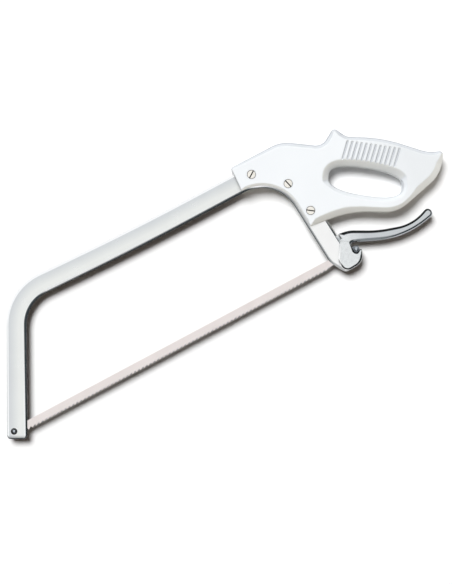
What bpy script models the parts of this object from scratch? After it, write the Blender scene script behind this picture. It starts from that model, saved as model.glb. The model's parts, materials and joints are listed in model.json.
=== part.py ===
"""Butcher saw: a steel bow, a moulded handle, a toothed blade and a hooked tension lever.

The saw lies on its side. The blade runs along +X from the front pin to the handle, +Y points from the
blade to the top of the bow, and +Z is the saw's thickness. Outlines are drawn in millimetres in the plane
of the blade, with the front blade pin at (0, 0) and the middle of the bow's thickness at z = 0.
"""
import math

import bmesh
import bpy
import numpy as np
from mathutils import Matrix

MM = 0.001
GAP = 0.3               # clearance between pieces that touch

# Overall placing: the middle of the outline, which comes to stand over the world's origin
OUTLINE_MIDDLE = (289.548, 65.638)

# Bow: one flat bar bent on edge
BAR_WIDTH = 23.6
BAR_THICKNESS = 6.0
BAR_EDGE_RADIUS = 2.9         # the bar's edges are almost half round
FRONT_ARM_ANGLE = 62.3        # from the blade, in degrees
FRONT_ARM_OFFSET = 3.3        # the bar's middle line lies this far behind the front pin
FRONT_ARM_BELOW_PIN = 9.0
FRONT_ARM_CORNER = 2.5
FRONT_BEND_RADIUS = 53.5      # all bend radii are to the bar's middle line
TOP_BAR_HEIGHT = 131.2        # middle of the top bar above the blade pins
TOP_BAR_DROP_ANGLE = 2.3      # the front part of the top bar falls towards the handle
TOP_BAR_BREAK = 237.0         # where the fall would meet the level part
TOP_BAR_SWEEP_RADIUS = 3300.0
ARCH_RADIUS = 56.0
REAR_ARM_FOOT = 427.5         # rear arm's middle line at the height of the blade pins
REAR_ARM_LEAN = 4.0           # the rear arm leans back towards its foot, in degrees
BLADE_SLOT = 1.6              # saw cut in both ends of the bow
BLADE_SLOT_TOP = 7.0

# Blade
BLADE_SPAN = 450.0            # front pin to hook pin
BLADE_THICKNESS = 0.7
BLADE_BACK = 3.9              # back edge above the pins
TOOTH_ROOT = -3.8
TOOTH_TIP = -5.1
TOOTH_PITCH = 2.3
TOOTH_RAKE_SHARE = 0.2        # the steep front flank takes this share of the pitch
TOOTH_SET = 0.2               # tips lean out to alternate sides
TEETH_FROM = 15.0
TEETH_TO = 412.0
FRONT_PIN_DIAMETER = 4.6
FRONT_PIN_RECESS = 7.6
FRONT_PIN_RECESS_DEPTH = 0.8
HOOK_PIN_DIAMETER = 6.8
HOOK_PIN_NECK = 4.0
HOOK_PIN_HALF_LENGTH = 6.2
HOOK_PIN_DOME = 1.6

# Tension lever
PIVOT = (432.0, -4.0)
LEVER_THICKNESS = 10.4
LEVER_EDGE_RADIUS = 2.6
BOSS_THICKNESS = 13.0
BOSS_EDGE_RADIUS = 1.3
FORK_SLOT = BAR_THICKNESS + 2 * GAP
FORK_ROOT = 5.2               # the cheeks are parted below this height
STUD_DIAMETER = 6.0
STUD_COVER = 0.9              # metal left over the blind stud holes in the cheeks
NOTCH_SEAT_RADIUS = 4.1

# Handle
HANDLE_THICKNESS = 27.0
HANDLE_EDGE_RADIUS = 7.5
NOSE_FRONT = 363.8
HANDLE_FOOT = 48.3            # where the rear arm leaves the handle
HANDLE_ARCH = 9.5             # the handle ends this far inside the bar's middle line and leaves its edge bare
OPENING_CENTRE = (495.7, 63.8)
OPENING_HALF_LENGTH = 43.4
OPENING_HALF_WIDTH = 16.0
OPENING_TURN = -37.3          # degrees
OPENING_SQUARENESS = 2.6      # exponent of the superellipse
OPENING_STEPS = 44
GROOVE_COUNT = 12
GROOVE_FIRST = ((498.5, 114.5), (483.9, 99.5))    # the top and bottom end of the first groove
GROOVE_LAST = ((547.2, 78.5), (532.5, 63.7))
GROOVE_WIDTH = 1.9
GROOVE_DEPTH = 0.9

# Handle screws, each in a sleeve nut: place, and turn of the driver slot in degrees
HANDLE_SCREWS = {
    "nose": ((382.7, 132.9), 34.0),
    "arch": ((415.1, 103.6), -75.0),
    "heel": ((423.4, 64.1), -36.0),
}
SCREW_HEAD = 10.0
SCREW_HEAD_THICKNESS = 1.9
SCREW_SINK = 0.2              # heads lie this far below the handle's face
SCREW_SHANK = 4.0
SCREW_TIP = -6.0
SLEEVE = 6.2
SLEEVE_TOP = 8.0
SLEEVE_BORE_FLOOR = -9.0
DRIVER_SLOT_WIDTH = 1.3
DRIVER_SLOT_DEPTH = 0.9

# Fineness of the outlines
CHORD_ERROR = 0.1
COARSEST_STEP = 18.0          # degrees
LONGEST_STRAIGHT = 12.0       # on outlines with a large edge radius


def add(a, b, scale=1.0):
    return a[0] + scale * b[0], a[1] + scale * b[1]


def heading(degrees):
    return math.cos(math.radians(degrees)), math.sin(math.radians(degrees))


def left_of(direction):
    return -direction[1], direction[0]


def towards(a, b):
    length = math.dist(a, b)
    return (b[0] - a[0]) / length, (b[1] - a[1]) / length


def crossing(a, along_a, b, along_b):
    """The point where a line through a meets a line through b."""
    cross = along_a[0] * along_b[1] - along_a[1] * along_b[0]
    reach = ((b[0] - a[0]) * along_b[1] - (b[1] - a[1]) * along_b[0]) / cross
    return add(a, along_a, reach)


def rounded(corners, longest=None):
    """A closed outline from corners (x, y, radius), with an arc at each corner."""
    points = []
    for i, (x, y, radius) in enumerate(corners):
        corner = (x, y)
        arriving = towards(corners[i - 1][:2], corner)
        leaving = towards(corner, corners[(i + 1) % len(corners)][:2])
        turn = math.atan2(arriving[0] * leaving[1] - arriving[1] * leaving[0],
                          arriving[0] * leaving[0] + arriving[1] * leaving[1])
        side = math.copysign(1.0, turn)
        start = add(corner, arriving, -radius * math.tan(abs(turn) / 2))
        centre = add(start, left_of(arriving), side * radius)
        step = min(math.radians(COARSEST_STEP), 2 * math.acos(1 - CHORD_ERROR / max(radius, 1.0)))
        steps = max(2, math.ceil(abs(turn) / step))
        first = math.atan2(start[1] - centre[1], start[0] - centre[0])
        for k in range(steps + 1):
            angle = first + turn * k / steps
            points.append((centre[0] + radius * math.cos(angle), centre[1] + radius * math.sin(angle)))
    return divided(points, longest) if longest else points


def divided(points, longest):
    """The outline with its long straights cut into shorter lengths."""
    result = []
    for a, b in zip(points, points[1:] + points[:1]):
        pieces = max(1, math.ceil(math.dist(a, b) / longest))
        result += [add(a, (b[0] - a[0], b[1] - a[1]), k / pieces) for k in range(pieces)]
    return result


class BarLine:
    """The middle line of the bow: front arm, two lengths of top bar and rear arm."""

    def __init__(self):
        arm = heading(FRONT_ARM_ANGLE)
        fall = heading(-TOP_BAR_DROP_ANGLE)
        level = (1.0, 0.0)
        down = heading(REAR_ARM_LEAN - 90.0)
        self.directions = [arm, fall, level, down]
        near_pin = add((0.0, 0.0), left_of(arm), -FRONT_ARM_OFFSET)
        break_point = (TOP_BAR_BREAK, TOP_BAR_HEIGHT)
        rear_foot = (REAR_ARM_FOOT, 0.0)
        self.points = [
            add(near_pin, arm, -FRONT_ARM_BELOW_PIN),
            crossing(near_pin, arm, break_point, fall),
            break_point,
            crossing(break_point, level, rear_foot, down),
            rear_foot,
        ]
        self.radii = [FRONT_BEND_RADIUS, -TOP_BAR_SWEEP_RADIUS, ARCH_RADIUS]

    def edge(self, offset):
        """The corners (x, y, radius) of a line at an offset to the left of the middle line."""
        lines = [(add(p, left_of(d), offset), d) for p, d in zip(self.points, self.directions)]
        corners = [(*lines[0][0], FRONT_ARM_CORNER)]
        for (a, along_a), (b, along_b), radius in zip(lines, lines[1:], self.radii):
            corners.append((*crossing(a, along_a, b, along_b), abs(radius + offset)))
        foot = add(self.points[-1], left_of(self.directions[-1]), offset)
        return corners + [(*foot, 0.0)]

    def outline(self, half_width, foot):
        """The bar's closed outline, counter-clockwise, with the corners of its foot."""
        outer = self.edge(half_width)
        inner = self.edge(-half_width)
        return inner[:-1] + foot + outer[-2::-1]


bar_line = BarLine()


def on_rear_arm(height, offset):
    """A point on the rear arm at a height, at an offset to the left of its middle line."""
    down = bar_line.directions[-1]
    start = add(bar_line.points[-1], left_of(down), offset)
    return crossing(start, down, (0.0, height), (1.0, 0.0))


def bar_outline(clearance=0.0):
    """The bow's outline. The foot narrows to a rounded tongue behind the lever's head."""
    half = BAR_WIDTH / 2 + clearance
    foot = [
        (*on_rear_arm(0.0, -half), 24.0),
        add(PIVOT, (-4.0, -16.0)) + (6.0,),
        add(PIVOT, (8.4, -9.0)) + (4.5,),
    ]
    return rounded(bar_line.outline(half, foot))


def circle(centre, radius, steps, clockwise=False):
    turns = range(steps, 0, -1) if clockwise else range(steps)
    return [add(centre, heading(360.0 * k / steps), radius) for k in turns]


def lever_outline():
    """The whole lever: heel, scrolled head with the hook's notch, and the curved arm."""
    seat = (BLADE_SPAN, 0.0)
    notch_wall = seat[0] - NOTCH_SEAT_RADIUS
    return rounded([
        (439.4, 25.1, 1.2),
        (437.7, 18.6, 6.0),
        (423.9, -1.4, 12.0),
        (425.2, -20.1, 9.0),
        (449.8, -19.0, 14.0),
        (455.4, -2.0, 1.5),
        (notch_wall, -6.65, NOTCH_SEAT_RADIUS),
        (notch_wall, 10.0, 3.5),
        (505.3, -15.4, 103.0),
        (548.7, -6.5, 4.0),
        (546.7, 4.0, 4.0),
        (520.4, -5.3, 51.0),
        (481.8, 7.4, 130.0),
        (451.6, 23.7, 34.0),
    ])


def boss_outline():
    """The raised face on the lever's head, a little inside the head's edge."""
    return rounded([
        (438.3, 16.7, 2.5),
        (425.2, -1.6, 11.0),
        (426.4, -18.8, 8.0),
        (448.9, -17.8, 13.0),
        (454.0, -3.6, 0.7),
        (445.1, -8.0, 4.9),
        (445.1, 11.4, 1.5),
    ])


def handle_outline():
    """The handle's outer wall: nose, brow, thumb dip, horn, grip, tail, belly and the arch."""
    inner = bar_line.edge(-HANDLE_ARCH)
    under_nose = (NOSE_FRONT, TOP_BAR_HEIGHT - HANDLE_ARCH, 1.2)
    foot = on_rear_arm(HANDLE_FOOT, -HANDLE_ARCH) + (2.0,)
    clockwise = [
        under_nose,
        (365.0, 150.8, 3.0),
        (430.6, 150.7, 40.0),
        (470.4, 123.7, 14.0),
        (491.6, 136.2, 2.6),
        (500.8, 120.0, 12.0),
        (536.9, 99.1, 170.0),
        (575.4, 59.6, 40.0),
        (591.0, 53.2, 2.6),
        (578.9, 30.9, 40.0),
        (511.3, 15.1, 37.0),
        (465.4, 41.4, 115.0),
        foot,
        inner[3],
    ]
    return rounded(clockwise[::-1], LONGEST_STRAIGHT)


def opening_outline():
    """The finger opening, a turned superellipse, clockwise because it is a hole."""
    along = heading(OPENING_TURN)
    power = 2.0 / OPENING_SQUARENESS
    points = []
    for k in range(OPENING_STEPS, 0, -1):
        c, s = heading(360.0 * k / OPENING_STEPS)
        reach = OPENING_HALF_LENGTH * math.copysign(abs(c) ** power, c)
        rise = OPENING_HALF_WIDTH * math.copysign(abs(s) ** power, s)
        points.append(add(add(OPENING_CENTRE, along, reach), left_of(along), rise))
    return points


def blade_outline():
    """The blade with rounded ends about its pin holes and raked teeth along the lower edge."""
    points = [add((0.0, 0.0), heading(a), BLADE_BACK) for a in range(90, 241, 15)]
    points.append((TEETH_FROM - TOOTH_PITCH, TOOTH_ROOT))
    for k in range(int((TEETH_TO - TEETH_FROM) / TOOTH_PITCH)):
        root = TEETH_FROM + k * TOOTH_PITCH
        points += [(root, TOOTH_ROOT), (root + TOOTH_RAKE_SHARE * TOOTH_PITCH, TOOTH_TIP)]
    points.append((root + TOOTH_PITCH, TOOTH_ROOT))
    points += [add((BLADE_SPAN, 0.0), heading(a), BLADE_BACK) for a in range(-75, 91, 15)]
    return points


def new_collection(name, parent):
    collection = bpy.data.collections.new(name)
    parent.children.link(collection)
    return collection


def new_material(name, colour, roughness, metallic):
    material = bpy.data.materials.new(name)
    material.use_nodes = True
    shader = material.node_tree.nodes["Principled BSDF"]
    shader.inputs["Base Color"].default_value = (*colour, 1.0)
    shader.inputs["Roughness"].default_value = roughness
    shader.inputs["Metallic"].default_value = metallic
    return material


def place(name, mesh, collection, parent, at=(0.0, 0.0), material=None):
    """An object whose origin is at a point of the saw's plane."""
    obj = bpy.data.objects.new(name, mesh)
    obj.parent = parent
    obj.location = (at[0] * MM, at[1] * MM, 0.0)
    collection.objects.link(obj)
    if material:
        mesh.materials.append(material)
    return obj


def as_cutter(obj):
    obj.hide_render = True
    obj.display_type = "WIRE"
    return obj


def finish_mesh(bm, name, origin=(0.0, 0.0), smooth_angle=35.0):
    """The mesh of a bmesh drawn in millimetres, moved to its own origin and scaled to metres."""
    shift = Matrix.Translation((-origin[0], -origin[1], 0.0))
    bmesh.ops.transform(bm, matrix=Matrix.Scale(MM, 4) @ shift, verts=bm.verts)
    bmesh.ops.recalc_face_normals(bm, faces=bm.faces)
    mesh = bpy.data.meshes.new(name)
    bm.to_mesh(mesh)
    bm.free()
    mesh.shade_smooth()
    mesh.set_sharp_from_angle(angle=math.radians(smooth_angle))
    return mesh


def inward_normals(loop):
    before = np.roll(loop, 1, axis=0)
    after = np.roll(loop, -1, axis=0)
    ahead = (loop - before) / np.linalg.norm(loop - before, axis=1)[:, None]
    ahead += (after - loop) / np.linalg.norm(after - loop, axis=1)[:, None]
    ahead /= np.linalg.norm(ahead, axis=1)[:, None]
    return np.stack([-ahead[:, 1], ahead[:, 0]], axis=1)


def edge_radii(loops, largest, share=0.7):
    """The edge radius at each point: smaller where the outline turns tighter than the largest."""
    everything = np.concatenate(loops)
    radii = []
    for loop in loops:
        normals = inward_normals(loop)
        away = everything[None] - loop[:, None]
        depth = np.einsum("ijk,ik->ij", away, normals)
        squared = (away ** 2).sum(axis=2)
        ball = np.where(depth > 1e-6, squared / (2 * np.maximum(depth, 1e-6)), np.inf)
        radii.append(np.minimum(largest, share * ball.min(axis=1)))
    return radii


def rounded_slab(name, outlines, thickness, edge_radius, segments, origin=(0.0, 0.0)):
    """A plate with round edges: outlines drawn in step by step towards both faces.

    The first outline runs counter-clockwise and the others, which are holes, clockwise.
    """
    loops = [np.array(outline) for outline in outlines]
    radii = edge_radii(loops, edge_radius)
    bm = bmesh.new()
    caps = {-1: [], 1: []}
    quarter = [math.radians(90.0 * k / segments) for k in range(segments + 1)]
    levels = [(-1, a) for a in reversed(quarter)] + [(1, a) for a in quarter]
    for loop, radius in zip(loops, radii):
        normals = inward_normals(loop)
        rings = []
        for side, angle in levels:
            drawn_in = loop + normals * (radius * (1 - math.cos(angle)))[:, None]
            height = side * (thickness / 2 - radius * (1 - math.sin(angle)))
            rings.append([bm.verts.new((x, y, z)) for (x, y), z in zip(drawn_in, height)])
        count = len(loop)
        for lower, upper in zip(rings, rings[1:]):
            for k in range(count):
                bm.faces.new((lower[k], lower[(k + 1) % count], upper[(k + 1) % count], upper[k]))
        for side, ring in ((-1, rings[0]), (1, rings[-1])):
            caps[side] += [bm.edges.get((ring[k], ring[(k + 1) % count])) for k in range(count)]
    for edges in caps.values():
        bmesh.ops.triangle_fill(bm, edges=edges, use_beauty=True)
    return finish_mesh(bm, name, origin)


def plate_mesh(name, outlines, thickness, origin=(0.0, 0.0)):
    """A flat plate with square edges, from a filled 2D curve."""
    curve = bpy.data.curves.new(name, "CURVE")
    curve.dimensions = "2D"
    curve.fill_mode = "BOTH"
    curve.extrude = thickness / 2 * MM
    for outline in outlines:
        spline = curve.splines.new("POLY")
        spline.use_cyclic_u = True
        spline.points.add(len(outline) - 1)
        for point, (x, y) in zip(spline.points, outline):
            point.co = ((x - origin[0]) * MM, (y - origin[1]) * MM, 0.0, 1.0)
    drawing = bpy.data.objects.new(name, curve)
    bpy.context.scene.collection.objects.link(drawing)
    evaluated = drawing.evaluated_get(bpy.context.evaluated_depsgraph_get())
    mesh = bpy.data.meshes.new_from_object(evaluated)
    bpy.data.objects.remove(drawing)
    bpy.data.curves.remove(curve)
    bm = bmesh.new()
    bm.from_mesh(mesh)
    bmesh.ops.remove_doubles(bm, verts=bm.verts, dist=1e-6)
    bmesh.ops.recalc_face_normals(bm, faces=bm.faces)
    bm.to_mesh(mesh)
    bm.free()
    return mesh


def cylinder_mesh(name, diameter, low, high, steps=32):
    bm = bmesh.new()
    middle = Matrix.Translation((0.0, 0.0, (low + high) / 2))
    bmesh.ops.create_cone(bm, cap_ends=True, segments=steps, radius1=diameter / 2,
                          radius2=diameter / 2, depth=high - low, matrix=middle)
    return finish_mesh(bm, name)


def block_mesh(name, low, high):
    """A box between two corners."""
    bm = bmesh.new()
    size = [b - a for a, b in zip(low, high)]
    middle = [(a + b) / 2 for a, b in zip(low, high)]
    bmesh.ops.create_cube(bm, size=1.0, matrix=Matrix.Translation(middle) @ Matrix.Diagonal((*size, 1.0)))
    return finish_mesh(bm, name)


def turned_mesh(name, profile):
    """An open profile of (radius, height) for a Screw modifier, from the top down."""
    mesh = bpy.data.meshes.new(name)
    points = [(radius * MM, 0.0, height * MM) for radius, height in profile]
    mesh.from_pydata(points, [(k, k + 1) for k in range(len(points) - 1)], [])
    return mesh


def add_turning(obj, steps=20):
    turning = obj.modifiers.new("turned", "SCREW")
    turning.steps = turning.render_steps = steps
    turning.use_merge_vertices = True
    turning.merge_threshold = 1e-6
    turning.use_smooth_shade = False
    return obj


def add_boolean(obj, name, operation, *, tool=None, collection=None):
    boolean = obj.modifiers.new(name, "BOOLEAN")
    boolean.operation = operation
    boolean.solver = "EXACT"
    if collection:
        boolean.operand_type = "COLLECTION"
        boolean.collection = collection
    else:
        boolean.object = tool
    return boolean


class Saw:
    """The pieces, their cutters and their shared parent."""

    def __init__(self):
        scene = bpy.context.scene.collection
        self.pieces = new_collection("butcher_saw", scene)
        self.cutters = new_collection("butcher_saw_cutters", scene)
        self.root = bpy.data.objects.new("saw_plane", None)
        self.root.location = (-OUTLINE_MIDDLE[0] * MM, -OUTLINE_MIDDLE[1] * MM, HANDLE_THICKNESS / 2 * MM)
        self.pieces.objects.link(self.root)
        self.steel = new_material("satin_stainless", (0.70, 0.74, 0.77), 0.32, 1.0)
        self.blade_steel = new_material("blade_steel", (0.80, 0.76, 0.74), 0.40, 1.0)
        self.chrome = new_material("polished_casting", (0.78, 0.80, 0.82), 0.14, 1.0)
        self.nickel = new_material("nickel_screw", (0.72, 0.68, 0.62), 0.28, 1.0)
        self.plastic = new_material("white_moulding", (0.90, 0.92, 0.93), 0.38, 0.0)

    def piece(self, name, mesh, material, at=(0.0, 0.0)):
        return place(name, mesh, self.pieces, self.root, at, material)

    def cutter(self, collection, mesh, at=(0.0, 0.0)):
        return as_cutter(place(mesh.name, mesh, collection, self.root, at))

    def cut(self, obj):
        """A new collection of cutters that are taken away from a piece."""
        collection = new_collection(obj.name + "_cutters", self.cutters)
        add_boolean(obj, "cut", "DIFFERENCE", collection=collection)
        return collection


def make_bow(saw):
    bow = saw.piece("bow_frame", rounded_slab("bow_frame", [bar_outline()], BAR_THICKNESS, BAR_EDGE_RADIUS, 3),
                    saw.steel)
    cuts = saw.cut(bow)
    half_slot = BLADE_SLOT / 2
    saw.cutter(cuts, block_mesh("front_blade_slot", (-40.0, -40.0, -half_slot), (40.0, BLADE_SLOT_TOP, half_slot)))
    saw.cutter(cuts, block_mesh("rear_blade_slot", (400.0, -40.0, -half_slot), (470.0, BLADE_SLOT_TOP, half_slot)))
    past = BAR_THICKNESS
    saw.cutter(cuts, cylinder_mesh("front_pin_hole", FRONT_PIN_DIAMETER + 2 * GAP, -past, past))
    for side in (-1, 1):
        floor = BAR_THICKNESS / 2 - FRONT_PIN_RECESS_DEPTH
        low, high = sorted((side * floor, side * past))
        saw.cutter(cuts, cylinder_mesh("front_pin_recess", FRONT_PIN_RECESS, low, high))
    saw.cutter(cuts, cylinder_mesh("stud_hole", STUD_DIAMETER + 2 * GAP, -past, past), PIVOT)
    for place_name, (centre, _) in HANDLE_SCREWS.items():
        saw.cutter(cuts, cylinder_mesh(f"{place_name}_sleeve_hole", SLEEVE + 2 * GAP, -past, past, 24), centre)
    return bow


def make_handle(saw):
    mesh = rounded_slab("handle", [handle_outline(), opening_outline()], HANDLE_THICKNESS, HANDLE_EDGE_RADIUS, 4)
    handle = saw.piece("handle", mesh, saw.plastic)
    cuts = saw.cut(handle)
    slot = plate_mesh("bar_slot", [bar_outline(GAP)], BAR_THICKNESS + 2 * GAP)
    saw.cutter(cuts, slot)
    face = HANDLE_THICKNESS / 2
    seat = face - SCREW_SINK - SCREW_HEAD_THICKNESS - GAP
    for place_name, (centre, _) in HANDLE_SCREWS.items():
        saw.cutter(cuts, cylinder_mesh(f"{place_name}_hole", SLEEVE + 2 * GAP, -2 * face, 2 * face, 24), centre)
        for side in (-1, 1):
            low, high = sorted((side * seat, side * 2 * face))
            saw.cutter(cuts, cylinder_mesh(f"{place_name}_seat", SCREW_HEAD + 2 * GAP, low, high), centre)
    for k in range(GROOVE_COUNT):
        share = k / (GROOVE_COUNT - 1)
        top, bottom = (tuple(np.array(a) * (1 - share) + np.array(b) * share)
                       for a, b in zip(GROOVE_FIRST, GROOVE_LAST))
        middle = ((top[0] + bottom[0]) / 2, (top[1] + bottom[1]) / 2)
        half_length, half_width = math.dist(top, bottom) / 2, GROOVE_WIDTH / 2
        along = towards(bottom, top)
        for side in (-1, 1):
            low, high = sorted((side * (face - GROOVE_DEPTH), side * 2 * face))
            groove = saw.cutter(cuts, block_mesh("groove", (-half_length, -half_width, low),
                                                 (half_length, half_width, high)), middle)
            groove.rotation_euler.z = math.atan2(along[1], along[0])
    return handle


def make_fasteners(saw):
    """Slotted screws on the front face, in sleeve nuts from the back face."""
    top = HANDLE_THICKNESS / 2 - SCREW_SINK
    under = top - SCREW_HEAD_THICKNESS
    rim = 0.35
    head, shank, sleeve, bore = (d / 2 for d in (SCREW_HEAD, SCREW_SHANK, SLEEVE, SCREW_SHANK + 2 * GAP))
    screw_profile = [(0.0, top), (head - rim, top), (head, top - rim), (head, under), (shank, under),
                     (shank, SCREW_TIP + rim), (shank - rim, SCREW_TIP), (0.0, SCREW_TIP)]
    nut_profile = [(0.0, SLEEVE_BORE_FLOOR), (bore, SLEEVE_BORE_FLOOR), (bore, SLEEVE_TOP), (sleeve, SLEEVE_TOP),
                   (sleeve, -under), (head, -under), (head, rim - top), (head - rim, -top), (0.0, -top)]
    half_width, reach = DRIVER_SLOT_WIDTH / 2, SCREW_HEAD
    for place_name, (centre, turn) in HANDLE_SCREWS.items():
        for kind, profile, side in (("screw", screw_profile, 1), ("nut", nut_profile, -1)):
            name = f"handle_{kind}_{place_name}"
            fastener = add_turning(saw.piece(name, turned_mesh(name, profile), saw.nickel, centre))
            low, high = sorted((side * (top - DRIVER_SLOT_DEPTH), side * 2 * top))
            slot = saw.cutter(saw.cut(fastener), block_mesh(f"{name}_slot", (-reach, -half_width, low),
                                                            (reach, half_width, high)), centre)
            slot.rotation_euler.z = math.radians(turn)


def make_blade(saw):
    holes = [circle((0.0, 0.0), FRONT_PIN_DIAMETER / 2 + GAP, 20, True),
             circle((BLADE_SPAN, 0.0), HOOK_PIN_NECK / 2 + GAP, 20, True)]
    mesh = plate_mesh("saw_blade", [blade_outline(), *holes], BLADE_THICKNESS)
    halfway = (TOOTH_ROOT + TOOTH_TIP) / 2 * MM
    first_tip = TEETH_FROM + TOOTH_RAKE_SHARE * TOOTH_PITCH
    for vertex in mesh.vertices:
        if vertex.co.y < halfway:
            tooth = round((vertex.co.x / MM - first_tip) / TOOTH_PITCH)
            vertex.co.z += TOOTH_SET * MM * (1 if tooth % 2 else -1)
    return saw.piece("saw_blade", mesh, saw.blade_steel)


def make_pins(saw):
    """The front blade pin, the shouldered pin that the hook pulls, and the lever's two studs."""
    radius, end = FRONT_PIN_DIAMETER / 2, BAR_THICKNESS / 2 - 0.2
    dome = [(radius * math.sin(math.radians(a)), end - 0.5 + 0.5 * math.cos(math.radians(a)))
            for a in range(0, 91, 30)]
    front = dome + [(r, -z) for r, z in reversed(dome)]
    add_turning(saw.piece("front_blade_pin", turned_mesh("front_blade_pin", front), saw.steel))

    radius, neck, end = HOOK_PIN_DIAMETER / 2, HOOK_PIN_NECK / 2, HOOK_PIN_HALF_LENGTH
    shoulder = BLADE_THICKNESS / 2 + GAP
    half = [(radius * math.sin(math.radians(a)), end - HOOK_PIN_DOME * (1 - math.cos(math.radians(a))))
            for a in range(0, 91, 30)]
    half += [(radius, shoulder), (neck, shoulder)]
    profile = half + [(r, -z) for r, z in reversed(half)]
    add_turning(saw.piece("blade_hook_pin", turned_mesh("blade_hook_pin", profile), saw.chrome,
                          (BLADE_SPAN, 0.0)))

    radius, rim = STUD_DIAMETER / 2, 0.25
    inner, outer = BLADE_SLOT / 2 + 0.15, BOSS_THICKNESS / 2 - STUD_COVER - GAP
    for name, side in (("lever_stud_front", 1), ("lever_stud_back", -1)):
        high, low = sorted((side * inner, side * outer), reverse=True)
        profile = [(0.0, high), (radius - rim, high), (radius, high - rim),
                   (radius, low + rim), (radius - rim, low), (0.0, low)]
        add_turning(saw.piece(name, turned_mesh(name, profile), saw.chrome, PIVOT))


def make_lever(saw):
    mesh = rounded_slab("tension_lever", [lever_outline()], LEVER_THICKNESS, LEVER_EDGE_RADIUS, 3, PIVOT)
    lever = saw.piece("tension_lever", mesh, saw.chrome, PIVOT)
    boss_mesh = rounded_slab("lever_boss", [boss_outline()], BOSS_THICKNESS, BOSS_EDGE_RADIUS, 2)
    boss = saw.cutter(saw.cutters, boss_mesh)
    add_boolean(lever, "raised_head", "UNION", tool=boss)
    cuts = saw.cut(lever)
    half = FORK_SLOT / 2
    beside_bar = BAR_WIDTH / 2 + GAP
    above_root = [on_rear_arm(40.0, -beside_bar), on_rear_arm(0.0, -beside_bar),
                  on_rear_arm(0.0, beside_bar), on_rear_arm(40.0, beside_bar)]
    saw.cutter(cuts, block_mesh("fork_slot", (405.0, -40.0, -half), (457.5, FORK_ROOT, half)))
    saw.cutter(cuts, plate_mesh("bar_clearance", [above_root], FORK_SLOT))
    saw.cutter(cuts, cylinder_mesh("blade_end_clearance", 14.4, -half, half), (BLADE_SPAN + 1.0, 1.2))
    reach = BOSS_THICKNESS / 2 - STUD_COVER
    saw.cutter(cuts, cylinder_mesh("lever_stud_hole", STUD_DIAMETER + 2 * GAP, -reach, reach), PIVOT)
    return lever


def main():
    for obj in list(bpy.data.objects):
        bpy.data.objects.remove(obj)
    saw = Saw()
    make_bow(saw)
    make_handle(saw)
    make_fasteners(saw)
    make_blade(saw)
    make_pins(saw)
    make_lever(saw)


main()
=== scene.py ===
import json
import math

import bmesh
import bpy
import numpy as np
from mathutils import Matrix, Vector


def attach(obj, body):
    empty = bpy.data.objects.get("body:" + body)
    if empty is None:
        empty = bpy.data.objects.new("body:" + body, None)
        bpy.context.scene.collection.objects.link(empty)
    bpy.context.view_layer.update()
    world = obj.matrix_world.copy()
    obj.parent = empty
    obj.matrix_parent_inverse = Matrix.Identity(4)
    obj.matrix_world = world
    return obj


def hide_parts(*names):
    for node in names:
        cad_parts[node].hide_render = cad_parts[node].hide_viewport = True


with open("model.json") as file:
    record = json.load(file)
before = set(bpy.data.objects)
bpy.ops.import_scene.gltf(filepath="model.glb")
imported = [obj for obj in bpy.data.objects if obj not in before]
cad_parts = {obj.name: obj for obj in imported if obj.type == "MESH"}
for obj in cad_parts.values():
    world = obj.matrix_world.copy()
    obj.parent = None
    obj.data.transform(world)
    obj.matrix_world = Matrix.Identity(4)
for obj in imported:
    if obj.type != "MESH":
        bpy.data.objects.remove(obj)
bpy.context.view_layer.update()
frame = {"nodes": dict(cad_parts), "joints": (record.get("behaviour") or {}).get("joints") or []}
scene = bpy.context.scene
mm = 0.001
jointAt = {joint["name"]: Vector(joint["pos_m"]) for joint in frame["joints"]}
pinAt = jointAt["blade_swing"]      # drawings are in millimetres from the front blade pin, at half thickness
pivot = tuple((jointAt["lever_release"] - pinAt).xy / mm)
playGap = 0.3                       # clearance between pieces that touch
print("frame loaded:", len(frame["nodes"]), "nodes")


# drawing in the plane of the blade
drawing = {"chordError": 0.02, "coarsestTurn": 9.0, "fewestSteps": 3, "leastRadius": 0.5}


def go(point, direction, distance=1.0):
    return point[0] + distance * direction[0], point[1] + distance * direction[1]


def heading(degrees):
    return math.cos(math.radians(degrees)), math.sin(math.radians(degrees))


def leftOf(direction):
    return -direction[1], direction[0]


def aim(a, b):
    span = math.dist(a, b)
    return (b[0] - a[0]) / span, (b[1] - a[1]) / span


def meet(a, alongA, b, alongB):
    cross = alongA[0] * alongB[1] - alongA[1] * alongB[0]
    return go(a, alongA, ((b[0] - a[0]) * alongB[1] - (b[1] - a[1]) * alongB[0]) / cross)


def roundCorners(corners, longest=None):
    points = []
    for i, (x, y, radius) in enumerate(corners):     # one arc for each (x, y, radius)
        arriving = aim(corners[i - 1][:2], (x, y))
        leaving = aim((x, y), corners[(i + 1) % len(corners)][:2])
        turn = math.atan2(arriving[0] * leaving[1] - arriving[1] * leaving[0],
                          arriving[0] * leaving[0] + arriving[1] * leaving[1])
        start = go((x, y), arriving, -radius * math.tan(abs(turn) / 2))
        centre = go(start, leftOf(arriving), math.copysign(radius, turn))
        finest = 2 * math.acos(1 - drawing["chordError"] / max(radius, drawing["leastRadius"]))
        coarsest = math.radians(drawing["coarsestTurn"])
        steps = max(drawing["fewestSteps"], math.ceil(abs(turn) / min(coarsest, finest)))
        first = math.atan2(start[1] - centre[1], start[0] - centre[0])
        for k in range(steps + 1):
            a = first + turn * k / steps
            points.append((centre[0] + radius * math.cos(a), centre[1] + radius * math.sin(a)))
    if not longest:
        return points
    split = []
    for a, b in zip(points, points[1:] + points[:1]):    # long straights get points in between
        parts = max(1, math.ceil(math.dist(a, b) / longest))
        split += [go(a, (b[0] - a[0], b[1] - a[1]), k / parts) for k in range(parts)]
    return split


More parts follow.
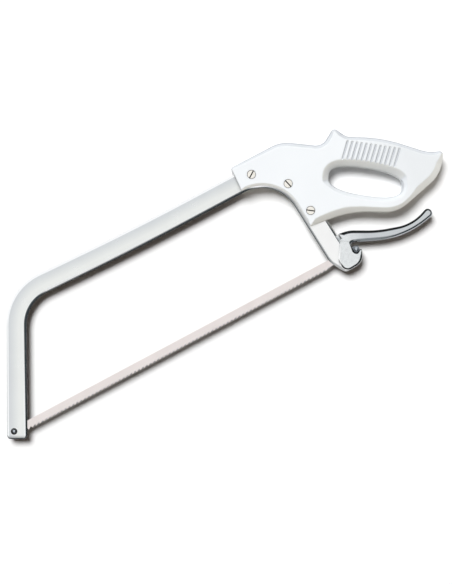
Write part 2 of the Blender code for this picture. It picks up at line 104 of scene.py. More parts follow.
def inward(loop):
    ahead = np.roll(loop, -1, axis=0) - loop
    ahead /= np.linalg.norm(ahead, axis=1)[:, None]
    ahead = ahead + np.roll(ahead, 1, axis=0)
    ahead /= np.linalg.norm(ahead, axis=1)[:, None]
    return np.stack([-ahead[:, 1], ahead[:, 0]], axis=1)


def fade(values, start, full):
    return np.clip((values - start) / (full - start), 0, 1)


# edges are (inset, drop) steps from the wall to the face, in shares of the rounding
def softEdge(steepest, flattest, wall, steps, foot):
    low, high = heading(flattest), heading(steepest)
    spread = (1 - wall) / (high[1] - low[1])
    edge = []
    for k in range(steps + 1):
        c, s = heading(steepest * (1 - k / steps) + flattest * (k / steps))
        edge.append((1 - spread * (s - low[1]), spread * (low[0] - c)))
    return [(inset, edge[0][1] + drop) for inset, drop in foot] + edge


def chamferEdge(draft, slope, crease, lean, wallShare, ease, steps):
    c, s = heading(slope)
    bend = crease / s
    foot = (1 - crease - draft) * s / c + bend * (1 - c)      # drafted wall, straight chamfer, soft crease
    edge = [(0.0, foot + draft / lean), (wallShare * draft, foot + 2 * ease)]
    edge.append((draft + ease, foot - ease * s / c))
    for k in range(steps + 1):
        c, s = heading(slope * (1 - k / steps))
        edge.append((1 - bend * s, bend * (1 - c)))
    return edge


def roundingAt(loops, largest, share, closest=1e-6):
    everything = np.concatenate(loops)
    found = []
    for loop in loops:                # the widest ball that fits inside the outline at each point
        away = everything[None] - loop[:, None]
        depth = np.einsum("ijk,ik->ij", away, inward(loop))
        ball = (away ** 2).sum(axis=2) / (2 * np.maximum(depth, closest))
        ball = np.where(depth > closest, ball, np.inf)
        most = largest(loop) if callable(largest) else largest
        found.append(np.minimum(most, share * ball.min(axis=1)))
    return found


# meshes
def meshFrom(bm, name):
    bmesh.ops.recalc_face_normals(bm, faces=bm.faces)
    mesh = bpy.data.meshes.new(name)
    bm.to_mesh(mesh)
    bm.free()
    return mesh


def slabMesh(name, outlines, thickness, rounding, edge, share=0.7):
    loops = [np.array(outline) for outline in outlines]
    bm = bmesh.new()
    rims = {-1: [], 1: []}
    for loop, radius in zip(loops, roundingAt(loops, rounding, share)):
        count, normal, rows = len(loop), inward(loop), []
        steps = edge(normal) if callable(edge) else edge
        levels = [(-1, *step) for step in reversed(steps)] + [(1, *step) for step in steps]
        for side, inset, drop in levels:        # the outline draws in towards both faces
            flat = loop + normal * (radius * inset)[:, None]
            height = side * (thickness / 2 - radius * drop)
            rows.append([bm.verts.new((x * mm, y * mm, z * mm)) for (x, y), z in zip(flat, height)])
        for low, high in zip(rows, rows[1:]):
            for k in range(count):
                n = (k + 1) % count
                bm.faces.new((low[k], low[n], high[n], high[k]))
        for side, row in ((-1, rows[0]), (1, rows[-1])):
            rims[side] += [bm.edges.get((row[k], row[(k + 1) % count])) for k in range(count)]
    for edges in rims.values():
        bmesh.ops.triangle_fill(bm, edges=edges, use_beauty=True)
    return meshFrom(bm, name)


def prismMesh(name, outlines, low, high):
    bm = bmesh.new()
    rims = ([], [])
    for outline in outlines:
        rows = [[bm.verts.new((x * mm, y * mm, z * mm)) for x, y in outline] for z in (low, high)]
        for k in range(len(outline)):
            n = (k + 1) % len(outline)
            bm.faces.new((rows[0][k], rows[0][n], rows[1][n], rows[1][k]))
            for rim, row in zip(rims, rows):
                rim.append(bm.edges.get((row[k], row[n])))
    for rim in rims:
        bmesh.ops.triangle_fill(bm, edges=rim, use_beauty=True)
    return meshFrom(bm, name)


def turnedMesh(name, profile, steps=56, weld=1e-7):
    bm = bmesh.new()
    line = [bm.verts.new((radius * mm, 0, height * mm)) for radius, height in profile]
    edges = [bm.edges.new(pair) for pair in zip(line, line[1:])]
    bmesh.ops.spin(bm, geom=line + edges, axis=(0, 0, 1), angle=2 * math.pi, steps=steps, use_merge=True)
    bmesh.ops.remove_doubles(bm, verts=bm.verts, dist=weld)
    return meshFrom(bm, name)


def drillMesh(name, diameter, low, high, at=(0, 0), steps=48):
    ring = [go(at, heading(360 * k / steps), diameter / 2) for k in range(steps)]
    return prismMesh(name, [ring], low, high)


def boxMesh(name, low, high):
    (west, south, under), (east, north, over) = low, high
    return prismMesh(name, [[(west, south), (east, south), (east, north), (west, north)]], under, over)


def capsuleMesh(name, a, b, radius, height, equator=1e-6):
    bm = bmesh.new()
    half = math.dist(a, b) / 2
    bmesh.ops.create_uvsphere(bm, u_segments=16, v_segments=12, radius=radius)
    for vert in bm.verts:
        vert.co.z += math.copysign(half, vert.co.z) if abs(vert.co.z) > equator else 0.0
    dx, dy = aim(a, b)
    turn = Matrix(((dy, 0, dx), (-dx, 0, dy), (0, -1, 0))).to_4x4()
    shift = Matrix.Translation(((a[0] + b[0]) / 2, (a[1] + b[1]) / 2, height))
    bmesh.ops.transform(bm, matrix=Matrix.Scale(mm, 4) @ shift @ turn, verts=bm.verts)
    return meshFrom(bm, name)


def shapedMesh(name, mesh, cutters=(), joined=(), weld=2e-6):
    work = bpy.data.objects.new(name, mesh)
    bench = bpy.data.collections.new(name + "Bench")
    scene.collection.children.link(bench)
    bench.objects.link(work)
    spare = []
    for kind, tools in (("UNION", joined), ("DIFFERENCE", cutters)):
        for tool in tools:
            toolObject = bpy.data.objects.new(tool.name, tool)
            bench.objects.link(toolObject)
            spare.append(toolObject)
            modifier = work.modifiers.new(kind, "BOOLEAN")
            modifier.operation, modifier.solver, modifier.object = kind, "EXACT", toolObject
    result = bpy.data.meshes.new_from_object(work.evaluated_get(bpy.context.evaluated_depsgraph_get()))
    for old in spare + [work]:
        bpy.data.objects.remove(old)
    bpy.data.collections.remove(bench)
    result.name = name
    bm = bmesh.new()
    bm.from_mesh(result)
    bmesh.ops.remove_doubles(bm, verts=bm.verts, dist=weld)
    bm.to_mesh(result)
    bm.free()
    return result


def addPiece(name, mesh, material, node, body, at=(0, 0), sharpAngle=32):
    piece = bpy.data.objects.new(name, mesh)
    scene.collection.objects.link(piece)
    piece.location = pinAt + Vector((at[0] * mm, at[1] * mm, 0))
    mesh.materials.clear()
    mesh.materials.append(material)
    mesh.shade_smooth()
    mesh.set_sharp_from_angle(angle=math.radians(sharpAngle))
    weighted = piece.modifiers.new("evenShading", "WEIGHTED_NORMAL")
    weighted.keep_sharp = True
    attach(piece, body)
    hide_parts(node)


# marks on a mesh, which its finish reads
def spotsOf(mesh):
    return np.array([vert.co.xy for vert in mesh.vertices]) / mm


def markPoints(mesh, name, values):
    data = mesh.attributes.new(name, "FLOAT", "POINT").data
    data.foreach_set("value", np.asarray(values, dtype=np.float32))


def markFaces(mesh, name, test):
    values = np.array([test(face.center / mm, face.normal) for face in mesh.polygons], dtype=np.float32)
    mesh.attributes.new(name, "FLOAT", "FACE").data.foreach_set("value", values)


# nodes, each with its sockets fed by other sockets or by values
def addNode(tree, kind, sockets=None, **settings):
    node = tree.nodes.new(kind)
    for key, value in settings.items():
        setattr(node, key, value)
    for key, value in (sockets or {}).items():
        node.inputs[key].default_value = value
    return node


def feed(tree, socket, value):
    if isinstance(value, bpy.types.NodeSocket):
        tree.links.new(value, socket)
    else:
        socket.default_value = value


def mathOf(tree, operation, *values, clamp=False):
    node = addNode(tree, "ShaderNodeMath", operation=operation, use_clamp=clamp)
    for socket, value in zip(node.inputs, values):
        feed(tree, socket, value)
    return node.outputs[0]


def rampOf(tree, value, start, full, low=0.0, high=1.0, **settings):
    ramp = addNode(tree, "ShaderNodeMapRange", {"From Min": start, "From Max": full}, **settings)
    for label, source in (("Value", value), ("To Min", low), ("To Max", high)):
        feed(tree, ramp.inputs[label], source)
    return ramp.outputs["Result"]


def mixColours(tree, factor, first, second):
    mix = addNode(tree, "ShaderNodeMix", data_type="RGBA")
    feed(tree, mix.inputs["Factor"], factor)
    for place, colour in ((6, first), (7, second)):      # other sockets of the node share the colours' names
        feed(tree, mix.inputs[place], (*colour, 1) if isinstance(colour, tuple) else colour)
    return mix.outputs[2]


def mixShaders(tree, factor, first, second):
    mix = addNode(tree, "ShaderNodeMixShader")
    for socket, source in zip(mix.inputs, (factor, first, second)):
        tree.links.new(source, socket)
    return mix.outputs[0]


def addNoise(tree, inlet, sockets):
    noise = addNode(tree, "ShaderNodeTexNoise", sockets)
    spot = addNode(tree, "ShaderNodeTexCoord").outputs["Object"]
    if "Stretch" in inlet.outputs:
        pull = addNode(tree, "ShaderNodeVectorMath", operation="MULTIPLY")
        tree.links.new(spot, pull.inputs[0])
        tree.links.new(inlet.outputs["Stretch"], pull.inputs[1])
        spot = pull.outputs[0]
    tree.links.new(spot, noise.inputs["Vector"])
    for label in ("Scale", "Detail"):
        if label in inlet.outputs:
            tree.links.new(inlet.outputs[label], noise.inputs[label])
    return noise.outputs["Fac"]


# effects that several finishes share
numberSocket, vectorSocket, colourSocket = "NodeSocketFloat", "NodeSocketVector", "NodeSocketColor"


def newGroup(name, inputs, output):
    tree = bpy.data.node_groups.new(name, "ShaderNodeTree")
    for label, kind, value in inputs:
        tree.interface.new_socket(label, in_out="INPUT", socket_type=kind).default_value = value
    label, kind = output
    tree.interface.new_socket(label, in_out="OUTPUT", socket_type=kind)
    return tree, tree.nodes.new("NodeGroupInput"), tree.nodes.new("NodeGroupOutput")


def makeGrainGroup():
    tree, inlet, outlet = newGroup(
        "surfaceGrain",
        [("Scale", numberSocket, 900.0), ("Stretch", vectorSocket, (1, 1, 1)), ("Detail", numberSocket, 3.0)],
        ("Height", numberSocket))
    tree.links.new(addNoise(tree, inlet, {"Roughness": 0.6}), outlet.inputs["Height"])
    return tree


def makeDriftGroup():
    tree, inlet, outlet = newGroup(
        "toneDrift",
        [("Main", colourSocket, (1, 1, 1, 1)), ("Second", colourSocket, (0.8, 0.8, 0.8, 1)),
         ("Scale", numberSocket, 12.0), ("Amount", numberSocket, 0.5)],
        ("Colour", colourSocket))
    noise = addNoise(tree, inlet, {"Detail": 4.0, "Roughness": 0.55})
    patches = rampOf(tree, noise, start=0.35, full=0.68)
    share = mathOf(tree, "MULTIPLY", patches, inlet.outputs["Amount"])
    tone = mixColours(tree, share, inlet.outputs["Main"], inlet.outputs["Second"])
    tree.links.new(tone, outlet.inputs["Colour"])
    return tree


def makeScuffGroup():
    tree, inlet, outlet = newGroup(
        "hairScuffs",
        [("Scale", numberSocket, 60.0), ("Stretch", vectorSocket, (1, 14, 1)), ("Width", numberSocket, 0.05)],
        ("Mask", numberSocket))
    noise = addNoise(tree, inlet, {"Detail": 1.0, "Distortion": 0.4})
    away = mathOf(tree, "ABSOLUTE", mathOf(tree, "SUBTRACT", noise, 0.5))       # thin lines at half height
    ratio = mathOf(tree, "DIVIDE", away, inlet.outputs["Width"])
    tree.links.new(mathOf(tree, "SUBTRACT", 1.0, ratio, clamp=True), outlet.inputs["Mask"])
    return tree


def makeGlossGroup():
    tree, inlet, outlet = newGroup(
        "glossDrift",
        [("Smooth", numberSocket, 0.2), ("Rough", numberSocket, 0.4), ("Scale", numberSocket, 40.0),
         ("Extra", numberSocket, 0.0), ("Extra Amount", numberSocket, 0.1), ("Polish", numberSocket, 0.0)],
        ("Roughness", numberSocket))
    given, mostPolish = inlet.outputs, 0.6
    noise = addNoise(tree, inlet, {"Detail": 3.0})
    base = rampOf(tree, noise, start=0.3, full=0.7, low=given["Smooth"], high=given["Rough"])
    dulled = mathOf(tree, "MULTIPLY_ADD", given["Extra"], given["Extra Amount"], base, clamp=True)
    shine = mathOf(tree, "MULTIPLY_ADD", given["Polish"], -mostPolish, 1.0)
    tree.links.new(mathOf(tree, "MULTIPLY", dulled, shine), outlet.inputs["Roughness"])
    return tree


grainGroup, driftGroup = makeGrainGroup(), makeDriftGroup()
scuffGroup, glossGroup = makeScuffGroup(), makeGlossGroup()


def placeGroup(tree, group, values):
    return addNode(tree, "ShaderNodeGroup", values, node_tree=group)


def newFinish(name, finish):
    material = bpy.data.materials.new(name)
    material.use_nodes = True
    tree = material.node_tree
    shader = tree.nodes["Principled BSDF"]
    for key, value in finish["shader"].items():
        shader.inputs[key].default_value = value
    link = tree.links.new
    tone = placeGroup(tree, driftGroup, finish["tone"])
    link(tone.outputs["Colour"], shader.inputs["Base Color"])
    gloss = placeGroup(tree, glossGroup, finish["gloss"])
    if "scuffs" in finish:
        scuffs = placeGroup(tree, scuffGroup, finish["scuffs"])
        link(scuffs.outputs["Mask"], gloss.inputs["Extra"])
    link(gloss.outputs["Roughness"], shader.inputs["Roughness"])
    grain = placeGroup(tree, grainGroup, finish["grain"])
    strength, depth = finish["bump"]
    bump = addNode(tree, "ShaderNodeBump", {"Strength": strength, "Distance": depth * mm})
    link(grain.outputs["Height"], bump.inputs["Height"])
    link(bump.outputs["Normal"], shader.inputs["Normal"])
    return {"material": material, "tree": tree, "shader": shader, "tone": tone, "gloss": gloss,
            "colour": tone.outputs["Colour"]}


def tintWhere(made, mask, colour):
    made["colour"] = mixColours(made["tree"], mask, made["colour"], colour)
    made["tree"].links.new(made["colour"], made["shader"].inputs["Base Color"])


def markOf(made, name):
    return addNode(made["tree"], "ShaderNodeAttribute", attribute_name=name).outputs["Fac"]


def axisOf(made, space, axis):
    tree = made["tree"]
    axes = addNode(tree, "ShaderNodeSeparateXYZ")
    tree.links.new(addNode(tree, "ShaderNodeTexCoord").outputs[space], axes.inputs[0])
    return axes.outputs[axis]


def facing(made, axis, *limits):
    lean = axisOf(made, "Normal", axis)
    if axis == "Z":
        lean = mathOf(made["tree"], "ABSOLUTE", lean)       # 1 on the flat faces, 0 on upright walls
    return [rampOf(made["tree"], lean, *limit) for limit in limits]


def along(made, start, full):
    return rampOf(made["tree"], axisOf(made, "Object", "X"), start * mm, full * mm)


def both(made, a, b):
    return mathOf(made["tree"], "MULTIPLY", a, b)


# one flat bar bent on edge
bow = {
    "width": 23.6, "thickness": 6.0,
    "frontAngle": 62.3, "frontOffset": 3.3, "belowPin": 9.0, "endCorner": 4.6, "frontBend": 53.5,
    "topHeight": 131.2, "topFall": 2.3, "topBreak": 237.0, "topSweep": 3300.0,
    "archBend": 56.0, "rearFoot": 427.5, "rearLean": 4.0,
    "tongueRoot": 24.0, "tongue": (((-4.0, -16.0), 6.0), ((8.4, -9.0), 4.5)),      # around the lever's pivot
    "edge": ((0.0, 1.7), (80.0, 2.9)),                                             # slimmer at the front end
    "bevel": {"steepest": 43.0, "flattest": 20.0, "wall": 0.1, "steps": 5,
              "foot": ((0.0, 0.24), (0.03, 0.08))},
    "bladeSlot": 1.6, "slotHeights": (-40.0, 7.0),
    "slots": {"frontSlot": (-40.0, 40.0), "rearSlot": (400.0, 470.0)},
    "pinHole": 5.2, "pinRecess": 7.6, "recessDepth": 0.8, "studHole": 6.6, "sleeveHole": 6.8,
    "finish": {
        "shader": {"Metallic": 1.0},
        "tone": {"Scale": 9.0, "Amount": 0.5},
        "gloss": {"Smooth": 0.26, "Rough": 0.36, "Scale": 55.0, "Extra Amount": 0.06},
        "scuffs": {"Scale": 45.0, "Stretch": (2.0, 9.0, 1.0), "Width": 0.03},
        "grain": {"Scale": 1500.0, "Stretch": (1, 1, 1), "Detail": 3.0},
        "bump": (0.12, 0.05),
    },
    # painted light: shade on the outer side, inner wall, front end and pin recess; a highlight on the bevels
    "innerTone": ((0.85, 0.868, 0.85), (0.82, 0.842, 0.83)),
    "outerShadeTone": ((0.675, 0.702, 0.722), (0.645, 0.678, 0.702)),
    "outerShadeFrom": (-0.25, 0.75), "wornSheenFrom": (0.74, 0.80), "wallShadeFrom": (-0.90, -0.96),   # in half widths
    "rearFrom": (392.0, 402.0), "rearBelow": 90.0, "shadedEnd": (2.1, 1.3),
    "armTone": (0.945, 0.95, 0.945), "edgeHighlightTone": (0.95, 0.965, 0.975), "wallShadeTone": (0.19, 0.225, 0.235),
    "endShadeTone": (0.10, 0.11, 0.12), "recessShade": (0.03, 0.032, 0.035),
}
armWay, fallWay, levelWay = heading(bow["frontAngle"]), heading(-bow["topFall"]), (1.0, 0.0)
rearWay = heading(bow["rearLean"] - 90)
ways = [armWay, fallWay, levelWay, rearWay]
nearPin = go((0, 0), leftOf(armWay), -bow["frontOffset"])
breakAt, footAt = (bow["topBreak"], bow["topHeight"]), (bow["rearFoot"], 0.0)
barLine = [go(nearPin, armWay, -bow["belowPin"]), meet(nearPin, armWay, breakAt, fallWay), breakAt,
           meet(breakAt, levelWay, footAt, rearWay), footAt]
# handle screws, each with the turn of its driver slot
screwSpots = {"nose": ((382.7, 132.9), 34), "arch": ((415.1, 103.6), -75), "heel": ((423.4, 64.1), -36)}


def barEdge(offset):
    rows = [(go(p, leftOf(way), offset), way) for p, way in zip(barLine, ways)]
    bends = (bow["frontBend"], -bow["topSweep"], bow["archBend"])
    corners = [(*rows[0][0], bow["endCorner"])]
    for (a, alongA), (b, alongB), bend in zip(rows, rows[1:], bends):
        corners.append((*meet(a, alongA, b, alongB), abs(bend + offset)))
    return corners


def onRearArm(height, offset):
    return meet(go(footAt, leftOf(rearWay), offset), rearWay, (0, height), (1, 0))


def barOutline(extra=0.0):
    half = bow["width"] / 2 + extra
    tongue = [(*onRearArm(0, -half), bow["tongueRoot"])]
    tongue += [(*go(pivot, away), radius) for away, radius in bow["tongue"]]
    return roundCorners(barEdge(-half) + tongue + barEdge(half)[::-1])


def fromEnd(spots):
    return (spots - np.array(barLine[0])) @ np.array(armWay)


def barRounding(loop):
    return np.interp(fromEnd(loop), *zip(*bow["edge"]))


def acrossAt(spots, past=30.0, longest=6.0, endRadius=1.0):
    start, end = go(barLine[0], armWay, -past), go(footAt, rearWay, past)
    path = np.array(roundCorners([(*start, endRadius), *barEdge(0)[1:], (*end, endRadius)], longest))
    step = np.roll(path, -1, axis=0) - path
    away = spots[:, None] - path[None]
    share = np.clip((away * step).sum(axis=2) / (step ** 2).sum(axis=1), 0, 1)
    away -= share[..., None] * step
    near = (away ** 2).sum(axis=2).argmin(axis=1)
    rows = np.arange(len(spots))
    cross = step[near, 0] * away[rows, near, 1] - step[near, 1] * away[rows, near, 0]
    return cross / np.linalg.norm(step[near], axis=1)        # millimetres out from the middle line


def markBar(mesh):
    spots = spotsOf(mesh)
    x, y = spots.T
    markPoints(mesh, "acrossBar", acrossAt(spots) / (bow["width"] / 2))
    markPoints(mesh, "rearArm", fade(x, *bow["rearFrom"]) * (y < bow["rearBelow"]))
    markPoints(mesh, "shadedEnd", fade(fromEnd(spots), *bow["shadedEnd"]))

    def inRecess(at, _, near=0.05):
        beside = math.hypot(at.x, at.y) < bow["pinRecess"] / 2 + near
        return beside and abs(at.z) < bow["thickness"] / 2 - 2 * near

    markFaces(mesh, "recess", inRecess)


def finishBow():
    made = newFinish("satinBarSteel", bow["finish"])
    tree, link = made["tree"], made["tree"].links.new
    across = markOf(made, "acrossBar")
    outer = rampOf(tree, across, *bow["outerShadeFrom"])                              # painted shade: darker to the outer edge, in place of a curved face's reflection
    for label, inside, outside in zip(("Main", "Second"), bow["innerTone"], bow["outerShadeTone"]):
        link(mixColours(tree, outer, inside, outside), made["tone"].inputs[label])
    tintWhere(made, markOf(made, "rearArm"), bow["armTone"])
    wornSheen = rampOf(tree, mathOf(tree, "ABSOLUTE", across), *bow["wornSheenFrom"])      # bevels polished by wear, and painted lighter as a highlight
    link(wornSheen, made["gloss"].inputs["Polish"])
    tintWhere(made, wornSheen, bow["edgeHighlightTone"])
    tintWhere(made, rampOf(tree, across, *bow["wallShadeFrom"]), bow["wallShadeTone"])     # painted shade: inner wall darkened, in place of the shadowed floor it mirrors
    # painted shade on the bar's front end
    tintWhere(made, markOf(made, "shadedEnd"), bow["endShadeTone"])
    # painted shade in the pin recesses
    tintWhere(made, markOf(made, "recess"), bow["recessShade"])
    return made["material"]


def makeBow():
    steel = finishBow()
    slot, past, floor = bow["bladeSlot"] / 2, 8.0, bow["thickness"] / 2 - bow["recessDepth"]
    low, high = bow["slotHeights"]
    cutters = [boxMesh(name, (west, low, -slot), (east, high, slot))
               for name, (west, east) in bow["slots"].items()]
    cutters += [
        drillMesh("pinHole", bow["pinHole"], -past, past),
        drillMesh("pinRecessFront", bow["pinRecess"], floor, past),
        drillMesh("pinRecessBack", bow["pinRecess"], -past, -floor),
        drillMesh("studHole", bow["studHole"], -past, past, pivot),
    ]
    cutters += [drillMesh("sleeveHole", bow["sleeveHole"], -past, past, at) for at, _ in screwSpots.values()]
    slab = slabMesh("bowBar", [barOutline()], bow["thickness"], barRounding, softEdge(**bow["bevel"]))
    mesh = shapedMesh("bowBar", slab, cutters)
    markBar(mesh)
    addPiece("bowBar", mesh, steel, "bow_frame", "frame", sharpAngle=16)


# one white moulding, slotted over the bar
handle = {
    "thickness": 27.0, "noseFront": 363.8, "foot": 48.3, "arch": 9.5, "longest": 8.0,
    "edge": ((364.5, 1.6), (371.0, 4.6), (440.0, 8.8)), "upperLess": 0.4,      # wider from nose to grip
    "archEdge": 2.8, "archNear": 0.4, "archEnd": 430.0,                        # small along the bar
    "chamfer": {"slope": 46.0, "crease": 0.24, "lean": 0.4, "wallShare": 0.95, "ease": 0.03, "steps": 5},
    "draft": (0.05, 0.24),
    "opening": {"centre": (495.7, 63.8), "half": (43.4, 16.0), "turn": -37.3, "power": 2.6, "steps": 96,
                "lip": (1.75, 1.60)},
    "grooves": {"count": 12, "first": ((498.5, 114.5), (483.9, 99.5)), "last": ((547.2, 78.5), (532.5, 63.7)),
                "radius": 1.4, "depth": 1.35,
                "dark": {"width": 0.8, "below": 0.3, "lean": 0.1, "past": 1.0}},
    "seat": 10.6, "hole": 6.8, "seatDepth": 2.4,
    "sloped": (0.95, 0.75), "wall": (0.55, 0.40), "drafted": (0.10, 0.26), "upper": (-0.2, 0.2),
    "gripFrom": (500.0, 550.0), "gripTone": (0.785, 0.81, 0.828),
    # painted shade on chamfers, walls, drafted rims, the opening's lip and the groove floors
    "chamferShadeTone": (0.885, 0.90, 0.88), "upperChamferShade": (0.64, 0.668, 0.70), "underShadeTone": (0.77, 0.78, 0.76),
    "wallShadeTone": (0.70, 0.73, 0.76), "rimShadeTone": (0.33, 0.355, 0.40), "lipShadeTone": (0.82, 0.85, 0.88),
    "lipWallShadeTone": (0.71, 0.74, 0.775), "grooveShadeTone": (0.56, 0.585, 0.61),
    "finish": {
        "shader": {"Metallic": 0.0, "IOR": 1.48},
        "tone": {"Main": (0.865, 0.892, 0.915, 1), "Second": (0.835, 0.862, 0.885, 1),
                 "Scale": 22.0, "Amount": 0.5},
        "gloss": {"Smooth": 0.34, "Rough": 0.46, "Scale": 70.0},
        "grain": {"Scale": 1100.0, "Stretch": (1, 1, 1), "Detail": 2.0},
        "bump": (0.10, 0.06),
    },
}


def handleOutline():
    clockwise = [
        (handle["noseFront"], bow["topHeight"] - handle["arch"], 1.2),
        (365.0, 150.8, 3.0), (430.6, 150.7, 40.0), (470.4, 123.7, 14.0),      # nose, brow, thumb dip
        (491.6, 136.2, 4.8), (500.8, 120.0, 12.0), (536.9, 99.1, 170.0),      # horn and grip back
        (575.4, 59.6, 40.0), (591.0, 53.2, 4.2), (578.9, 30.9, 40.0),         # tail
        (511.3, 15.1, 37.0), (465.4, 41.4, 115.0),                            # belly and underside
        (*onRearArm(handle["foot"], -handle["arch"]), 2.0), barEdge(-handle["arch"])[3],
    ]
    return roundCorners(clockwise[::-1], handle["longest"])


def openingOutline():
    opening = handle["opening"]
    way, power, points = heading(opening["turn"]), 2 / opening["power"], []
    for k in range(opening["steps"], 0, -1):
        c, s = heading(360 * k / opening["steps"])
        reach = opening["half"][0] * math.copysign(abs(c) ** power, c)
        rise = opening["half"][1] * math.copysign(abs(s) ** power, s)
        points.append(go(go(opening["centre"], way, reach), leftOf(way), rise))
    return points


def openingReach(spots):
    opening = handle["opening"]
    away, way = spots - np.array(opening["centre"]), heading(opening["turn"])
    reach, rise = (np.abs(away @ np.array(side)) for side in (way, leftOf(way)))
    return np.maximum(reach / opening["half"][0], rise / opening["half"][1])      # 1 at the ends of both axes


def facingUp(normal):
    return np.clip(0.5 - 2 * normal[:, 1], 0, 1)        # from the inward normal, 1 on upper walls


def handleFillet(loop):
    onBar = np.abs(acrossAt(loop) + handle["arch"]) < handle["archNear"]
    size = np.interp(loop[:, 0], *zip(*handle["edge"])) * (1 - handle["upperLess"] * facingUp(inward(loop)))
    return np.where(onBar & (loop[:, 0] < handle["archEnd"]), handle["archEdge"], size)


def handleEdge(normal):
    upper = facingUp(normal)        # more draft on the walls that face up in the photo
    steep, drafted = (chamferEdge(draft, **handle["chamfer"]) for draft in handle["draft"])
    return [tuple(a + (b - a) * upper for a, b in zip(*steps)) for steps in zip(steep, drafted)]


def makeGrooveLines():
    grooves, lines = handle["grooves"], []
    for k in range(grooves["count"]):
        share = k / (grooves["count"] - 1)
        lines.append([np.array(a) * (1 - share) + np.array(b) * share
                      for a, b in zip(grooves["first"], grooves["last"])])
    return lines


grooveLines = makeGrooveLines()


def inGroove(at, normal):
    dark = handle["grooves"]["dark"]
    deep = abs(at.z) < handle["thickness"] / 2 - dark["below"]
    for top, bottom in grooveLines:
        length = np.linalg.norm(bottom - top)
        way, away = (bottom - top) / length, np.array((at.x, at.y)) - top
        aside, lean = abs(away[0] * way[1] - away[1] * way[0]), abs(normal.xy @ Vector(way))
        if deep and aside < dark["width"] * handle["grooves"]["radius"] and lean < dark["lean"]:
            return -dark["past"] < away @ way < length + dark["past"]
    return False


def finishHandle():
    made = newFinish("whiteMoulding", handle["finish"])
    sloped, wall, drafted = facing(made, "Z", handle["sloped"], handle["wall"], handle["drafted"])
    (upper,) = facing(made, "Y", handle["upper"])
    lip = both(made, upper, markOf(made, "openingLip"))
    # painted shade: chamfers, walls, rims and grooves darkened, more on the upper side, less on the opening's
    # lip
    tints = [
        (along(made, *handle["gripFrom"]), "gripTone"),
        (sloped, "chamferShadeTone"), (both(made, sloped, upper), "upperChamferShade"),
        (wall, "underShadeTone"), (both(made, wall, upper), "wallShadeTone"),
        (both(made, both(made, wall, drafted), upper), "rimShadeTone"),
        (both(made, sloped, lip), "lipShadeTone"), (both(made, wall, lip), "lipWallShadeTone"),
        (markOf(made, "groove"), "grooveShadeTone"),
    ]
    for mask, tone in tints:
        tintWhere(made, mask, handle[tone])
    return made["material"]


def makeHandle():
    plastic = finishHandle()
    face, past, bar = handle["thickness"] / 2, 20.0, bow["thickness"] / 2 + playGap
    seat = face - handle["seatDepth"]
    cutters = [prismMesh("barSlot", [barOutline(playGap)], -bar, bar)]
    for at, _ in screwSpots.values():
        cutters.append(drillMesh("screwHole", handle["hole"], -past, past, at))
        cutters.append(drillMesh("screwSeat", handle["seat"], seat, past, at))
        cutters.append(drillMesh("nutSeat", handle["seat"], -past, -seat, at))
    radius = handle["grooves"]["radius"]
    height = face + radius - handle["grooves"]["depth"]
    for top, bottom in grooveLines:
        cutters += [capsuleMesh("gripGroove", top, bottom, radius, side * height) for side in (-1, 1)]
    outlines = [handleOutline(), openingOutline()]
    slab = slabMesh("handleMoulding", outlines, handle["thickness"], handleFillet, handleEdge)
    mesh = shapedMesh("handleMoulding", slab, cutters)
    markFaces(mesh, "groove", inGroove)
    markPoints(mesh, "openingLip", fade(openingReach(spotsOf(mesh)), *handle["opening"]["lip"]))
    addPiece("handleMoulding", mesh, plastic, "handle", "frame")


# toothed strip between the two pins
blade = {
    "span": 450.0, "thickness": 0.7, "back": 3.9, "root": -4.1, "tip": -6.5, "pitch": 5.08, "rake": 0.14,
    "tooth": 0.78, "set": 0.2, "teeth": (15.0, 412.0), "frontHole": 5.2, "rearHole": 4.6,
    "frontEnd": range(90, 241, 10), "rearEnd": range(-75, 91, 10), "holeTurn": range(0, 360, 12),
    # painted shade on the end inside the hook
    "hookShadeFrom": (440.0, 443.0), "endShadeTone": (0.30, 0.33, 0.36),
    "finish": {
        "shader": {"Metallic": 1.0},
        "tone": {"Main": (0.86, 0.80, 0.78, 1), "Second": (0.80, 0.745, 0.73, 1),
                 "Scale": 14.0, "Amount": 0.5},
        "gloss": {"Smooth": 0.30, "Rough": 0.42, "Scale": 60.0, "Extra Amount": 0.08},
        "scuffs": {"Scale": 40.0, "Stretch": (0.6, 30.0, 1.0), "Width": 0.04},
        "grain": {"Scale": 700.0, "Stretch": (0.04, 1.6, 1.0), "Detail": 4.0},
        "bump": (0.16, 0.05),
    },
}


def makeBlade():
    made = newFinish("groundBladeSteel", blade["finish"])
    tintWhere(made, along(made, *blade["hookShadeFrom"]), blade["endShadeTone"])     # painted shade: the end inside the hook darkened grey-blue
    rearPin, back, pitch = (blade["span"], 0), blade["back"], blade["pitch"]
    start, end = blade["teeth"]
    count = int((end - start) / pitch)
    tooth = ((0, "root"), (blade["rake"], "tip"), (blade["tooth"], "root"))
    outline = [go((0, 0), heading(a), back) for a in blade["frontEnd"]]
    outline.append((start - pitch, blade["root"]))
    for k in range(count):
        outline += [(start + k * pitch + share * pitch, blade[edge]) for share, edge in tooth]
    outline.append((start + count * pitch, blade["root"]))
    outline += [go(rearPin, heading(a), back) for a in blade["rearEnd"]]
    holes = [[go(at, heading(-a), size / 2) for a in blade["holeTurn"]]
             for at, size in (((0, 0), blade["frontHole"]), (rearPin, blade["rearHole"]))]
    mesh = prismMesh("toothedBlade", [outline, *holes], -blade["thickness"] / 2, blade["thickness"] / 2)
    firstTip = start + blade["rake"] * pitch
    for vert in mesh.vertices:
        if vert.co.y < (blade["root"] + blade["tip"]) / 2 * mm:      # tips lean out to alternate sides
            number = round((vert.co.x / mm - firstTip) / pitch)
            vert.co.z += blade["set"] * mm * (1 if number % 2 else -1)
    steel = made["material"]
    addPiece("toothedBlade", mesh, steel, "saw_blade", "blade", sharpAngle=20)


